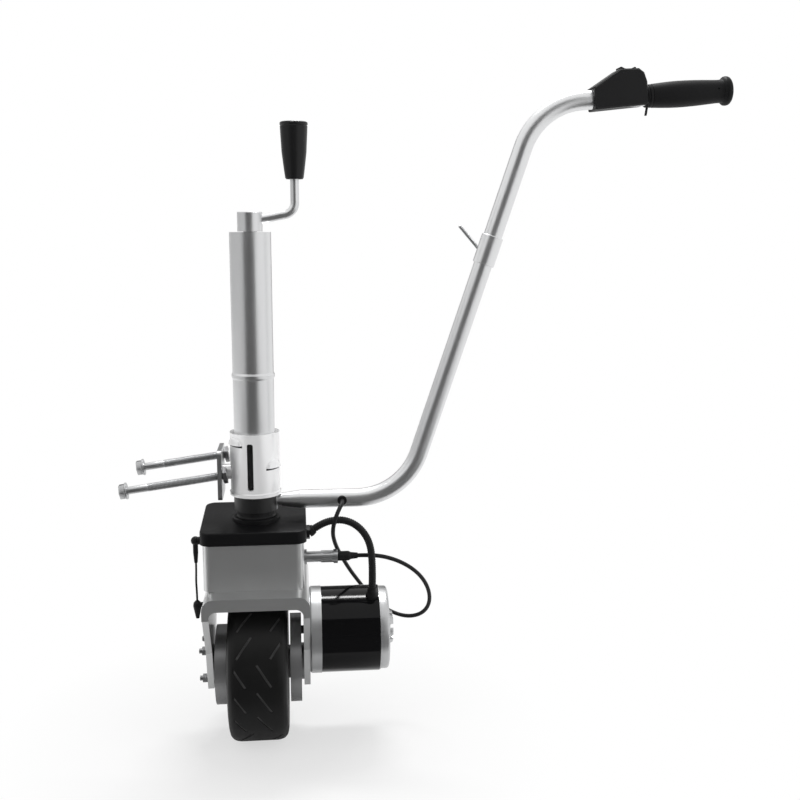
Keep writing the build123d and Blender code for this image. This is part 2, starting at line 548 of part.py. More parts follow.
def make_wheel():
    edge = TYRE_HALF
    tyre = turned([
        (RIM_R, 6 - edge), (RIM_R + 8, 1.5 - edge), (RIM_R + 20, -edge), (TYRE_R - 10, 0.6 - edge),
        (TYRE_R - 4.5, 3 - edge), (TYRE_R - 1.4, 7 - edge), (TYRE_R, 14 - edge),
        (TYRE_R, edge - 14), (TYRE_R - 1.4, edge - 7), (TYRE_R - 4.5, edge - 3),
        (TYRE_R - 10, edge - 0.6), (RIM_R + 20, edge), (RIM_R + 8, edge - 1.5), (RIM_R, edge - 6),
    ], (0, 0, AXLE_Z), (1, 0, 0))
    parts["tyre"] = tyre
    gear_end = CASE_X[1] - 3
    hub = turned([
        (14.0, -33), (20.0, -33), (20.0, -12), (RIM_R - 6, -8), (RIM_R - 6, 6 - edge), (RIM_R, 6 - edge),
        (RIM_R, edge - 6), (RIM_R - 6, edge - 6), (RIM_R - 6, 8), (20.0, 12), (20.0, CASE_X[0] + 2.9),
        (18.0, CASE_X[0] + 2.9), (18.0, gear_end), (14.0, gear_end),
    ], (0, 0, AXLE_Z), (1, 0, 0))
    for turn in range(5):
        angle = 2 * pi * turn / 5
        hub -= cyl_x(9.5, -20, 20, 37 * sin(angle), AXLE_Z + 37 * cos(angle))
    parts["wheel_hub"] = hub
    bearings = []
    for x in (-33.0, gear_end - 10):
        bearings.append(cyl_x(14.0, x, x + 10, 0, AXLE_Z) - cyl_x(AXLE_R + FIT, x - 1, x + 11, 0, AXLE_Z))
    parts["wheel_bearings"] = Compound(bearings)
    parts["axle"] = cyl_x(AXLE_R, -FORK_HALF, FORK_HALF, 0, AXLE_Z)
    inner = FORK_HALF - LEG_T
    disc = cyl_x(CASE_R, -CASE_X[1], -CASE_X[0], 0, AXLE_Z) + cyl_x(24.0, -inner, -CASE_X[1], 0, AXLE_Z)
    disc -= cyl_x(AXLE_R, -80, 0, 0, AXLE_Z)
    studs, nuts = [], []
    for y, z in DISC_BOLTS:
        disc -= cyl_x(DISC_BOLT_R, -80, -CASE_X[0] - 3, y, z)
        studs.append(cyl_x(DISC_BOLT_R, -FORK_HALF - STUD_REACH, -CASE_X[0] - 3, y, z))
        nut = cyl_x(6.4, -FORK_HALF - 1.4, -FORK_HALF, y, z) + hex_x(10, -FORK_HALF - 7.4, -FORK_HALF - 1.4, y, z)
        nuts.append(nut - cyl_x(DISC_BOLT_R, -80, -FORK_HALF, y, z))
    parts["spacer_disc"] = disc
    parts["disc_studs"] = Compound(studs)
    parts["disc_nuts"] = Compound(nuts)
    screw_y, screw_z = LEG_SCREW
    screw = cyl_x(3.3, -FORK_HALF - 6.5, -FORK_HALF, screw_y, screw_z)
    screw = chamfer(screw.edges().group_by(Axis.X)[0], 0.8)
    parts["leg_screw"] = screw + cyl_x(2.0, -FORK_HALF, -inner, screw_y, screw_z)


# Steering handle

def tube_along(path, r, wall):
    plane = Plane(origin=path @ 0, z_dir=path % 0)
    return sweep(plane * Circle(r), path=path) - sweep(plane * Circle(r - wall), path=path)


def on_rise(z):
    """The handle's rising centre line at a height."""
    return (RISE[0] + (z - RISE[1]) / RISE_SLOPE, 0.0, z)


def on_top(x):
    """The handle's upper centre line at an X."""
    return (x, 0.0, TOP[1] + TOP_SLOPE * (x - TOP[0]))


def rise_step(distance):
    """The change along the rising centre line over a distance."""
    length = hypot(1, RISE_SLOPE)
    return Vector(distance / length, 0, distance * RISE_SLOPE / length)


def make_handle():
    foot = Vector(*on_rise(SLEEVE_Z[0]))
    joint = Vector(*on_rise((SLEEVE_Z[0] + SLEEVE_Z[1]) / 2))
    half = (joint - foot).length
    cone_end = HANDLE_START + 22.0
    path = FilletPolyline((cone_end, 0, HANDLE_Z), on_rise(HANDLE_Z), tuple(joint), radius=BEND_R)
    lower = tube_along(path, TUBE_R, TUBE_WALL)
    lower += turned([(6.5, 0), (8.0, 0), (TUBE_R, 22), (TUBE_R - TUBE_WALL, 22)], (HANDLE_START, 0, HANDLE_Z), (1, 0, 0))
    lower -= cyl_y(3.6, -TUBE_R - 1, -TUBE_R + 6, GROMMET_X, HANDLE_Z)
    screw_x, _, screw_z = SCREW_AT
    screw_hole = cyl_y(3.0, 0, 16, screw_x, screw_z)
    parts["handle_lower_tube"] = lower - screw_hole
    head = cyl_z(26.0, 300.0, NECK_TOP) - cyl_z(20.0, 290, NECK_TOP + 1)
    spigot = cyl_x(6.5, 22.0, HANDLE_START + 14, 0, HANDLE_Z) - cyl_z(20.0, 290, 330)
    parts["steering_head"] = head + spigot
    corner_x = (TOP[1] - TOP_SLOPE * TOP[0] - RISE[1] + RISE_SLOPE * RISE[0]) / (RISE_SLOPE - TOP_SLOPE)
    start = joint + rise_step(0.2)
    path = FilletPolyline(tuple(start), on_top(corner_x), on_top(GRIP_X[1] - 7), radius=BEND_R)
    upper = tube_along(path, TUBE_R, TUBE_WALL)
    bore_r = TUBE_R - TUBE_WALL
    tongue_foot = start - rise_step(SPIGOT_LENGTH)
    tongue_top = start + rise_step(20)
    tongue = rod(tongue_foot, start, bore_r - FIT) + rod(start, tongue_top, bore_r)
    tongue -= rod(tongue_foot - rise_step(1), tongue_top + rise_step(1), bore_r - 1.6)
    parts["handle_upper_tube"] = upper + tongue
    sleeve = turned([(TUBE_R, 0), (12.3, 0), (12.9, 0.8), (12.9, 2 * half - 0.8), (12.3, 2 * half),
                     (TUBE_R + FIT, 2 * half), (TUBE_R + FIT, half), (TUBE_R, half)],
                    foot, rise_step(1))
    parts["handle_sleeve"] = sleeve - screw_hole


def make_lever():
    x, _, z = SCREW_AT
    screw = cyl_y(3.0 - FIT, TUBE_R - TUBE_WALL + 0.3, 14.0, x, z)
    tip = (248.0, 19.0, 634.0)
    parts["clamp_lever"] = screw + cyl_y(5.0, 13.5, 22.5, x, z) + rod((x, 19.0, z), tip, 2.0) + Pos(*tip) * Sphere(2.0)


def make_grip():
    x0, x1 = HOUSING_X
    profile = Polyline(
        (x0, 0, 793.0), (x0 + 2.5, 0, 767.5), (x1 + 1, 0, 774.5), (x1 - 1.5, 0, 800.0), (x1 - 5.5, 0, 810.0),
        (x1 - 12, 0, 814.5), (x1 - 34, 0, 813.5), close=True)
    body = extrude(make_face(profile), 17, dir=(0, 1, 0), both=True)
    corners = [e for e in body.edges().filter_by(Axis.Y) if e.center().Z < 780]
    body = fillet(corners, 2.0)
    flanks = body.faces().sort_by(Axis.Y)
    body = chamfer(flanks[0].edges() + flanks[-1].edges(), 1.6)
    bore = rod(on_top(x0 - 5), on_top(x1 + 5), TUBE_R)
    middle = x1 - 22.5
    well = block(middle - 11.2, middle + 11.2, -8.2, 8.2, 796.5, 830.0)
    trunnion_z = 806.0
    parts["switch_housing"] = body - bore - well - cyl_y(1.5 + FIT, -10, 10, middle, trunnion_z)
    arc_points = [(-9.4, -5.0), (-9.9, 10.4), (-8.2, 11.0), (-4.0, 9.2), (0, 8.5), (4.0, 9.2), (8.2, 11.0), (9.9, 10.4),
                  (9.4, -5.0)]
    face = make_face(Polyline(*[(middle + dx * 0.97, -7.8, trunnion_z + dz) for dx, dz in arc_points], close=True))
    rocker = extrude(face, 15.6, dir=(0, 1, 0))
    parts["rocker_switch"] = (rocker & cyl_y(13.2, -9, 9, middle, trunnion_z + 3)) + cyl_y(1.5, -9.8, 9.8, middle, trunnion_z)
    strap = rod(on_top(x1 + 1.6), on_top(GRIP_X[0] - 0.4), 12.6)
    tail = Pos(x1 + 2.4, -4.0, 768.5) * Rot(0, 8, 0) * Box(1.5, 4.5, 12.0)
    parts["cable_tie"] = strap + tail - rod(on_top(x0), on_top(GRIP_X[0] + 5), TUBE_R)
    length = GRIP_X[1] - GRIP_X[0]
    grip = turned([
        (TUBE_R, 0), (12.6, 0), (13.2, 5), (14.6, 22), (15.2, 44), (14.8, 66), (13.6, 86), (13.6, 90),
        (16.0, 92.5), (16.8, 95), (16.6, length - 1.5), (15.2, length), (0, length), (0, length - 5.9), (TUBE_R, length - 5.9),
    ], on_top(GRIP_X[0]), (1, 0, TOP_SLOPE))
    parts["grip"] = grip


def main():
    make_bracket()
    make_mast()
    make_crank()
    make_ram()
    make_fork()
    make_box()
    make_motor_lead()
    make_control_lead()
    make_side_lead()
    make_motor()
    make_gears()
    make_wheel()
    make_handle()
    make_lever()
    make_grip()
    os.makedirs("parts", exist_ok=True)
    shift = Pos(-ORIGIN[0], -ORIGIN[1], -ORIGIN[2])
    for name, shape in parts.items():
        export_step(shift * shape, f"parts/{name}.step")
    print(len(parts), "nodes")


main()
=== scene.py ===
# %% [markdown]
# # A motorised jockey wheel, dressed in Blender
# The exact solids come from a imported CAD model. This script loads them, gives every one a finish, and
# swaps the plainest ones for richer pieces: the cords, the tyre, the bolts, the grip, the motor's end cap
# and the lid. Places are written in the workshop's millimetres: x and y from the mast, z from the drawing's
# zero, which is 12 mm below the ground. The helper `at` turns them into the model's metres.

# %% Load the frame
import math

import bpy
from mathutils import Matrix, Vector


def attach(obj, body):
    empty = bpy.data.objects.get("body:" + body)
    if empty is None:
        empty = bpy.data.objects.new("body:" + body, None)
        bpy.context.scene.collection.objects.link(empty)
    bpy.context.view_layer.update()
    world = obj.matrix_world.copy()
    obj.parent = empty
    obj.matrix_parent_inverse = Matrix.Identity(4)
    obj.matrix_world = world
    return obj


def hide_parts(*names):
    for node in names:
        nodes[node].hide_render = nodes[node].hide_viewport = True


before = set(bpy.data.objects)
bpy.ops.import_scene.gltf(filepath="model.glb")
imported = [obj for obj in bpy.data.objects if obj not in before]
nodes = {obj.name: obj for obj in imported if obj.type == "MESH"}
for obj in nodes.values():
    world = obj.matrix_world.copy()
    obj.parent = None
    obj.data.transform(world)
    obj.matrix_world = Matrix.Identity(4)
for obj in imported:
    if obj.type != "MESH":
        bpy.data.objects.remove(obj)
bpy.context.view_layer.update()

# %% [markdown]
# ## Places and selections
# The CAD frame starts at the drawbar plate, 43 mm left of the mast and 346 mm above the drawing's zero.
# An operator works on all that is selected, so each new piece starts with nothing selected.

# %% Places and selections
MAST_FROM_PLATE = 43.0
PLATE_HEIGHT = 346.0


def at(x, y, z):
    """A workshop point in millimetres, as a point of the model in metres."""
    return Vector(((x + MAST_FROM_PLATE) / 1000, y / 1000, (z - PLATE_HEIGHT) / 1000))


def deselect():
    if bpy.context.object and bpy.context.object.mode != "OBJECT":
        bpy.ops.object.mode_set(mode="OBJECT")
    bpy.ops.object.select_all(action="DESELECT")


def pick(*pieces):
    """Selects these pieces alone, and makes the first one active."""
    deselect()
    for piece in pieces:
        piece.select_set(True)
    bpy.context.view_layer.objects.active = pieces[0]


print("drawbar plate at", tuple(at(-MAST_FROM_PLATE, 0, PLATE_HEIGHT)))

# %% [markdown]
# ## Camera
# The photograph was taken from a little above, about 1.2 m away, with the wheel turned by nearly 6 degrees.
# A camera is only numbers here: the focal length in pixels becomes a lens in millimetres.

# %% Camera
PHOTO_PIXELS = 800
FOCAL_PIXELS = 1044
SENSOR_MM = 36
CAMERA_PLACE = (0.09404, -1.23045, 0.2843)
LOOK_DOWN = 9.248
LOOK_RIGHT = 5.7
camera_data = bpy.data.cameras.new("camera")
camera_data.sensor_width = SENSOR_MM
camera_data.lens = FOCAL_PIXELS * SENSOR_MM / PHOTO_PIXELS
camera = bpy.data.objects.new("camera", camera_data)
camera.location = CAMERA_PLACE
camera.rotation_euler = (math.radians(90 - LOOK_DOWN), 0, math.radians(-LOOK_RIGHT))
bpy.context.collection.objects.link(camera)
bpy.context.scene.camera = camera
bpy.context.scene.view_settings.view_transform = "Standard"
print("lens", round(camera_data.lens, 2), "mm")

# %% [markdown]
# ## Light
# A product like this is shot in a light tent: white all round, soft lamps, and no hard highlights. The strip
# lamp above and behind is the only one that shows as a reflection: the line along the top of the motor. The
# side lamps only light, because the white walls already give polished metal something bright to mirror.

# %% Lamps
def lamp(name, place, target, size, watts, mirrored):
    """A rectangular lamp that points at the target. Metal reflects it only if it is mirrored."""
    data = bpy.data.lights.new(name, "AREA")
    data.shape = "RECTANGLE"
    data.size, data.size_y = size
    data.energy = watts
    made = bpy.data.objects.new(name, data)
    made.location = place
    made.rotation_euler = (Vector(target) - Vector(place)).to_track_quat("-Z", "Y").to_euler()
    made.visible_glossy = mirrored
    bpy.context.collection.objects.link(made)


MIDDLE = (0.15, 0, 0.05)
lamp("strip_behind", (0.32, 0.9, 2.14), MIDDLE, (0.9, 0.27), 30, True)
lamp("right_softbox", (1.9, -1.3, 0.5), MIDDLE, (0.9, 2.2), 16, False)
lamp("left_softbox", (-1.9, -1.0, 0.5), MIDDLE, (0.8, 2.2), 15, False)
print("three lamps")

# %% [markdown]
# The tent's wall is the world. A ray from the camera, or one mirrored by metal, meets plain white, and the
# light that the wall sheds on the object is set apart from that, at less than half.

# %% World
WALL_LIGHT = 0.42
world = bpy.data.worlds.new("white_tent")
bpy.context.scene.world = world
world.use_nodes = True
tent = world.node_tree
tent.nodes.clear()
path = tent.nodes.new("ShaderNodeLightPath")
seen = None
for ray in ("Is Camera Ray", "Is Glossy Ray", "Is Transmission Ray"):
    if seen is None:
        seen = path.outputs[ray]
        continue
    either = tent.nodes.new("ShaderNodeMath")
    either.operation = "MAXIMUM"
    tent.links.new(seen, either.inputs[0])
    tent.links.new(path.outputs[ray], either.inputs[1])
    seen = either.outputs[0]
walls = []
for strength in (WALL_LIGHT, 1.0):
    wall = tent.nodes.new("ShaderNodeBackground")
    wall.inputs["Color"].default_value = (1, 1, 1, 1)
    wall.inputs["Strength"].default_value = strength
    walls.append(wall)
blend = tent.nodes.new("ShaderNodeMixShader")
out = tent.nodes.new("ShaderNodeOutputWorld")
tent.links.new(seen, blend.inputs[0])
tent.links.new(walls[0].outputs[0], blend.inputs[1])
tent.links.new(walls[1].outputs[0], blend.inputs[2])
tent.links.new(blend.outputs[0], out.inputs["Surface"])
print("tent wall light", WALL_LIGHT)

# %% [markdown]
# ## Materials
# Shader maths is easier to read as arithmetic. `Field` wraps one socket, and adding or multiplying fields
# adds the Math nodes. `Finish` owns one material's node tree and makes any other node through `node`.

# %% Two small classes for shaders
class Field:
    """One socket of a shader, with arithmetic."""

    def __init__(self, finish, socket):
        self.finish = finish
        self.socket = socket

    def _math(self, operation, first, second):
        return self.finish.node("ShaderNodeMath", {"operation": operation}, {0: first, 1: second})

    def __add__(self, other):
        return self._math("ADD", self, other)

    def __radd__(self, other):
        return self._math("ADD", other, self)

    def __sub__(self, other):
        return self._math("SUBTRACT", self, other)

    def __rsub__(self, other):
        return self._math("SUBTRACT", other, self)

    def __mul__(self, other):
        return self._math("MULTIPLY", self, other)

    def __rmul__(self, other):
        return self._math("MULTIPLY", other, self)

    def absolute(self):
        return self._math("ABSOLUTE", self, 0.0)

    def at_least(self, floor_value):
        return self._math("MAXIMUM", self, floor_value)

    def clamp(self):
        return self.finish.node("ShaderNodeClamp", {}, {"Value": self})


class Finish:
    """A material, its Principled shader and the tools to feed it."""

    def __init__(self, name, **settings):
        self.material = bpy.data.materials.new(name)
        self.material.use_nodes = True
        self.tree = self.material.node_tree
        self.shader = self.tree.nodes["Principled BSDF"]
        for socket, value in settings.items():
            self.shader.inputs[socket.replace("_", " ")].default_value = value
        self.place = self.node("ShaderNodeTexCoord", {}, {}, "Object")

    def node(self, kind, settings, inputs, output=0):
        """Adds a node: settings first, then its sockets' values or links. Returns one output."""
        made = self.tree.nodes.new(kind)
        for name, value in settings.items():
            if name == "stops":
                ramp = made.color_ramp.elements
                while len(ramp) < len(value):
                    ramp.new(0.5)
                for element, (position, colour) in zip(ramp, value):
                    element.position = position
                    element.color = (*colour, 1)
            else:
                setattr(made, name, value)
        for name, value in inputs.items():
            if isinstance(value, Field):
                self.tree.links.new(value.socket, made.inputs[name])
            else:
                made.inputs[name].default_value = value
        return Field(self, made.outputs[output])

    def feed(self, socket, field):
        self.tree.links.new(field.socket, self.shader.inputs[socket])

    def stretched(self, scale):
        return self.node("ShaderNodeMapping", {}, {"Vector": self.place, "Scale": scale})

    def noise(self, scale, detail, stretch=(1, 1, 1)):
        sockets = {"Vector": self.stretched(stretch), "Scale": scale, "Detail": detail}
        return self.node("ShaderNodeTexNoise", {}, sockets)

    def mix(self, mask, low, high):
        """Two colours, each a link or four numbers, mixed by the mask."""
        return self.node("ShaderNodeMix", {"data_type": "RGBA"}, {0: mask, 6: low, 7: high}, 2)

    def tint(self, mask, low, high):
        """A colour that runs from low to high with the mask."""
        return self.mix(mask, (*low, 1), (*high, 1))

    def bump(self, height, strength, distance):
        sockets = {"Height": height, "Strength": strength, "Distance": distance}
        self.feed("Normal", self.node("ShaderNodeBump", {}, sockets))


print("shader helpers ready")

# %% [markdown]
# ### Metals
# Drawn tube keeps faint lines along its length, plated steel has soft cloudy patches, and castings are
# grainy. All are one recipe with other numbers: a cloud for the colour, a fine noise and a small bump.

# %% Metal finishes
def metal(name, colour, roughness, grain, grain_scale=900, stretch=(1, 1, 1), patch=0.05,
          metallic=1.0, bump_mm=0.02):
    """A metal surface: cloudy patches in its colour and roughness, and a fine grain in its relief."""
    finish = Finish(name, Metallic=metallic)
    cloud = finish.noise(35, 4)
    fine = finish.noise(grain_scale, 2, stretch)
    dark = tuple(c * (1 - patch) for c in colour)
    light = tuple(min(c * (1 + patch), 1) for c in colour)
    finish.feed("Base Color", finish.tint(cloud, dark, light))
    finish.feed("Roughness", (cloud - 0.5) * 0.12 + (fine - 0.5) * grain + roughness)
    finish.bump(fine, 0.35, bump_mm / 1000)
    return finish.material


ALONG_TUBE = (1, 1, 0.03)
looks = {
    "zinc": metal("zinc_plated_steel", (0.52, 0.525, 0.53), 0.34, 0.10, patch=0.14),
    "collar": metal("bright_collar_plate", (0.95, 0.95, 0.955), 0.18, 0.05, patch=0.012, metallic=0.3,
                    bump_mm=0.003),
    "mast": metal("satin_mast_tube", (0.72, 0.725, 0.73), 0.33, 0.08, 700, ALONG_TUBE, 0.03, bump_mm=0.006),
    "handle": metal("satin_handle_tube", (0.76, 0.765, 0.77), 0.34, 0.05, 900, patch=0.02, bump_mm=0.002),
    "machined": metal("machined_steel", (0.60, 0.61, 0.62), 0.26, 0.14, 500, (8, 1, 1), 0.06),
    "bronze": metal("bronze", (0.66, 0.46, 0.20), 0.30, 0.10, patch=0.08),
    # This near-black steel is painted shade on the ram tube, seen inside the mast through the collar's slot,
    # and the neck tube's own black.
    "black_and_shaded_steel": metal("black_steel_with_painted_shade", (0.022, 0.022, 0.022), 0.46, 0.16, patch=0.3, metallic=0.5),
    "nickel": metal("nickel_plate", (0.50, 0.505, 0.51), 0.34, 0.12, 1500, patch=0.25, bump_mm=0.03),
    # Painted shade: the fasteners are zinc made darker in colour, for the shade and dark reflections they
    # sit in.
    "fastener": metal("zinc_fasteners_painted_shade", (0.24, 0.24, 0.245), 0.38, 0.12, patch=0.16),
    "cast": metal("cast_disc", (0.36, 0.36, 0.365), 0.42, 0.16, 1100, patch=0.14, metallic=0.85,
                  bump_mm=0.05),
}
print(len(looks), "metals")

# %% [markdown]
# The motor's rotor is one solid with two finishes: its windings are copper, and its shaft, which shows
# beside the fork, is steel. Where a point lies along the motor's axis decides between them. A difference
# times a large number, clamped, is a step from 0 to 1 that is a fraction of a millimetre wide.

# %% Rotor finish
CAN_INSIDE = 80
SHARP_STEP = 2000
rotor = Finish("rotor", Metallic=1.0)
winding = rotor.noise(400, 2, (1, 6, 6))
along = rotor.node("ShaderNodeSeparateXYZ", {}, {0: rotor.place})
inside_can = ((along - at(CAN_INSIDE, 0, 0).x) * SHARP_STEP).clamp()
copper = rotor.tint(winding, (0.45, 0.2, 0.08), (0.7, 0.36, 0.18))
rotor.feed("Base Color", rotor.mix(inside_can, (0.13, 0.13, 0.135, 1), copper))
rotor.feed("Roughness", (winding - 0.5) * 0.2 + 0.38)
rotor.bump(winding, 0.4, 0.0002)
looks["rotor"] = rotor.material
print("rotor finish ready")

# %% [markdown]
# ### Paint and plastic
# Silver paint is metal flake under a clear film, so it is nearly all metallic, with a light coat and orange
# peel. Moulded plastic has a fine spark-eroded grain. The motor's can is smooth and glossy, and the lid is
# smooth and duller. Black parts mirror little, so their specular level is low.

# %% Painted and moulded finishes
def coated(name, colour, roughness, coat, peel=0.02, metallic=0.0, grain_scale=260, patch=0.06,
           specular=0.5):
    """Paint or moulding: an even colour with faint clouds, a fine relief and an optional clear coat."""
    finish = Finish(name, Metallic=metallic, Coat_Weight=coat, Coat_Roughness=0.08,
                    Specular_IOR_Level=specular)
    cloud = finish.noise(22, 3)
    fine = finish.noise(grain_scale, 2)
    dark = tuple(c * (1 - patch) for c in colour)
    light = tuple(c * (1 + patch) for c in colour)
    finish.feed("Base Color", finish.tint(cloud, dark, light))
    finish.feed("Roughness", (cloud - 0.5) * 0.08 + (fine - 0.5) * 0.08 + roughness)
    finish.bump(fine, 0.4, peel / 1000)
    return finish.material


BLACK = 0.22
NEAR_BLACK = (0.009, 0.009, 0.0095)
looks.update({
    "silver_paint": coated("silver_paint", (0.72, 0.725, 0.725), 0.33, 0.1, 0.015, 0.95),
    "motor_silver": coated("motor_silver_paint", (0.54, 0.545, 0.55), 0.36, 0.1, 0.03, 0.85, 500),
    "motor_black": coated("motor_black_enamel", (0.004, 0.004, 0.0045), 0.10, 0.0, 0.002, specular=0.17),
    "lid": coated("gloss_black_lid", (0.005, 0.005, 0.0055), 0.44, 0.0, 0.01, specular=0.16),
    "plastic": coated("matt_black_plastic", NEAR_BLACK, 0.46, 0.0, 0.06, 0.0, 1400, 0.12, BLACK),
    "knob": coated("knob_black_plastic", (0.010, 0.010, 0.0105), 0.34, 0.0, 0.03, 0.0, 1200, 0.10, BLACK),
    "relay": coated("relay_case", (0.05, 0.05, 0.05), 0.45, 0.0),
    "magnet": coated("ferrite_magnet", (0.07, 0.065, 0.06), 0.6, 0.0, 0.05),
    "rubber": coated("lead_rubber", NEAR_BLACK, 0.48, 0.0, 0.03, 0.0, 1800, 0.12, BLACK),
    "grip": coated("grip_rubber", (0.008, 0.008, 0.0085), 0.50, 0.0, 0.08, 0.0, 1100, 0.14, 0.14),
})
print(len(looks), "finishes")

# %% [markdown]
# ### Steering head
# The head's barrel is painted black and its arm is left bright, where the handle's tube goes in. The side
# of a plane across the arm decides between the two.

# %% Steering head finish
BARREL_EDGE = 24.5
SOFT_STEP = 1500
head = Finish("steering_head")
scuffs = head.noise(60, 4)
across_arm = head.node("ShaderNodeSeparateXYZ", {}, {0: head.place})
bare = ((across_arm - at(BARREL_EDGE, 0, 0).x) * SOFT_STEP).clamp()
head.feed("Base Color", head.tint(bare, (0.010, 0.010, 0.0105), (0.72, 0.725, 0.73)))
head.feed("Metallic", bare)
head.feed("Roughness", (scuffs - 0.5) * 0.1 + 0.38)
head.bump(scuffs, 0.2, 0.00003)
looks["head"] = head.material
print("steering head finish ready")

# %% [markdown]
# ### Tyre rubber
# Fresh rubber is almost black on the tread. The sipes hold dust, so they are greyer. How far a point is from
# the axle tells which it is: a Vector Math length of its place, with the axle's own direction left out.
# The tread falls away towards its shoulders, so the radius that counts as a groove falls with it.

# %% Tyre finish
AXLE = (0, 0, 104)
TREAD = 0.0916
SHOULDER = 0.020
SHOULDER_FALL = 20
TREAD_HALF = 0.031
GROOVE_STEP = 2500
tyre_finish = Finish("tyre_rubber", Specular_IOR_Level=BLACK)
axle_place = at(*AXLE)
round_axle = tyre_finish.node("ShaderNodeMapping", {}, {
    "Vector": tyre_finish.place, "Location": (0, -axle_place.y, -axle_place.z), "Scale": (0, 1, 1)})
radius = tyre_finish.node("ShaderNodeVectorMath", {"operation": "LENGTH"}, {0: round_axle}, 1)
apart = tyre_finish.node("ShaderNodeSeparateXYZ", {}, {0: tyre_finish.place})
off_centre = (apart - axle_place.x).absolute()
past_crown = (off_centre - SHOULDER).at_least(0.0)
tread_radius = TREAD - past_crown * past_crown * SHOULDER_FALL
on_tread = ((TREAD_HALF - off_centre) * SOFT_STEP).clamp()
in_groove = ((tread_radius - radius) * GROOVE_STEP).clamp() * on_tread
dust = tyre_finish.noise(55, 5)
pores = tyre_finish.noise(1300, 2)
rubber = tyre_finish.tint(dust, (0.005, 0.005, 0.005), (0.009, 0.009, 0.009))
tyre_finish.feed("Base Color", tyre_finish.mix(in_groove, rubber, (0.06, 0.06, 0.06, 1)))
tyre_finish.feed("Roughness", (dust - 0.5) * 0.14 + 0.46)
tyre_finish.bump(pores, 0.4, 0.00006)
looks["tyre"] = tyre_finish.material
print("tyre finish ready")

# %% [markdown]
# ### Dress the CAD solids
# A solid whose shape is already right keeps its mesh and only gets a finish. One table says which.

# %% Give every solid its finish
finish_of = {
    "zinc": ["drawbar_plate", "clamp_lever", "drawbar_bolts"],
    "collar": ["swivel_collar"],
    # Painted shade: the ram tube is near black for the shade inside the mast. The neck tube is black.
    "black_and_shaded_steel": ["ram_tube", "neck_tube"],
    "mast": ["mast_tube", "crank_collar", "crank_arm", "mast_cap"],
    "head": ["steering_head"],
    "handle": ["handle_lower_tube", "handle_upper_tube", "handle_sleeve"],
    "machined": ["thrust_bearing", "lead_screw", "kingpin", "kingpin_bolt", "axle", "wheel_bearings",
                 "wheel_gear", "pinion"],
    "bronze": ["ram_nut"],
    "rotor": ["armature"],
    # These fasteners get the darker zinc, with painted shade in its colour.
    "fastener": ["disc_studs", "disc_nuts", "leg_screw", "drawbar_nuts", "pivot_pin"],
    "magnet": ["field_magnets"],
    "nickel": ["control_socket", "coupling_ring"],
    "cast": ["gear_case", "spacer_disc", "wheel_hub"],
    "silver_paint": ["fork", "control_box"],
    "motor_silver": ["motor_flange", "motor_end_cap"],
    "motor_black": ["motor_can"],
    "lid": ["box_lid"],
    "knob": ["crank_knob"],
    "relay": ["motor_relays"],
    "plastic": ["motor_lead_gland", "control_plug", "switch_housing", "rocker_switch", "cable_tie",
                "side_gland"],
    "rubber": ["neck_seal", "motor_boot", "tube_grommet", "side_boot", "motor_lead", "control_lead",
               "side_lead"],
    "grip": ["grip"],
    "tyre": ["tyre"],
}
for look, names in finish_of.items():
    for name in names:
        for slot in nodes[name].material_slots:
            slot.material = looks[look]
undressed = sorted(set(nodes) - {name for names in finish_of.values() for name in names})
print("undressed solids:", undressed)

# %% [markdown]
# ## Cords
# Each cord is a smooth spline whose control points are the same route that the CAD solid follows. The order
# and the end points are set after the points are added, or the spline stays a chain of straight runs.

# %% A spline along a route
def spline_along(name, route, radius):
    """A round cord of this radius in millimetres, on a spline through a route of workshop points."""
    curve = bpy.data.curves.new(name, "CURVE")
    curve.dimensions = "3D"
    curve.resolution_u = 12
    curve.bevel_depth = radius / 1000
    curve.bevel_resolution = 5
    curve.use_fill_caps = True
    spline = curve.splines.new("NURBS")
    spline.points.add(len(route) - 1)
    for point, place in zip(spline.points, route):
        point.co = (*at(*place), 1)
    spline.order_u = 3
    spline.use_endpoint_u = True
    made = bpy.data.objects.new(name, curve)
    bpy.context.collection.objects.link(made)
    return made


def dress(piece, look, body):
    """Gives a new piece its finish and the body that it moves with."""
    piece.data.materials.clear()
    piece.data.materials.append(looks[look])
    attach(piece, body)
    return piece


print("spline helper ready")

# %% [markdown]
# The control lead leaves the plug, hangs in a loop to the right, passes behind the motor and climbs to the
# grommet in the handle tube. It is 5 mm thick, and limp enough to hang in one open loop.

# %% Control lead
control_route = [
    (120.5, -20, 243.5), (134.5, -20, 243.5), (153, -16, 240), (173, -11.5, 231.5), (191.5, -5, 218),
    (205.5, 4, 200), (213, 13, 179.5), (212.5, 23, 160), (203.5, 34, 145.5), (188, 46, 138.5),
    (171, 57, 140), (153.5, 64, 149), (139, 63, 165), (127, 53, 184), (115.5, 38, 204), (106.5, 20, 223.5),
    (99.5, 3.5, 240), (94.5, -10.5, 254.5), (91.3, -23.5, 268.3), (90.6, -34.5, 279.5), (91.8, -38.3, 289),
    (95, -37, 298.5), (99, -31.5, 305.8), (102.8, -23.6, 310), (102.8, -13.4, 310),
]
control_lead = spline_along("control_cord", control_route, 2.5)
dress(control_lead, "rubber", "drive")
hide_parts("control_lead")
at(120.5, -20, 243.5)
print("control lead through", len(control_route), "points")

# %% [markdown]
# The thin lead on the left hangs from its gland on the lid to the boot on the fork's leg.

# %% Side lead
side_route = [
    (-70.5, -30, 244), (-70.5, -30, 234), (-71.1, -30.3, 221), (-70.5, -30, 207), (-70.5, -30, 197),
]
side_lead = spline_along("side_cord", side_route, 1.2)
dress(side_lead, "rubber", "drive")
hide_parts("side_lead")
at(-70.5, -30, 244)
print("side lead through", len(side_route), "points")

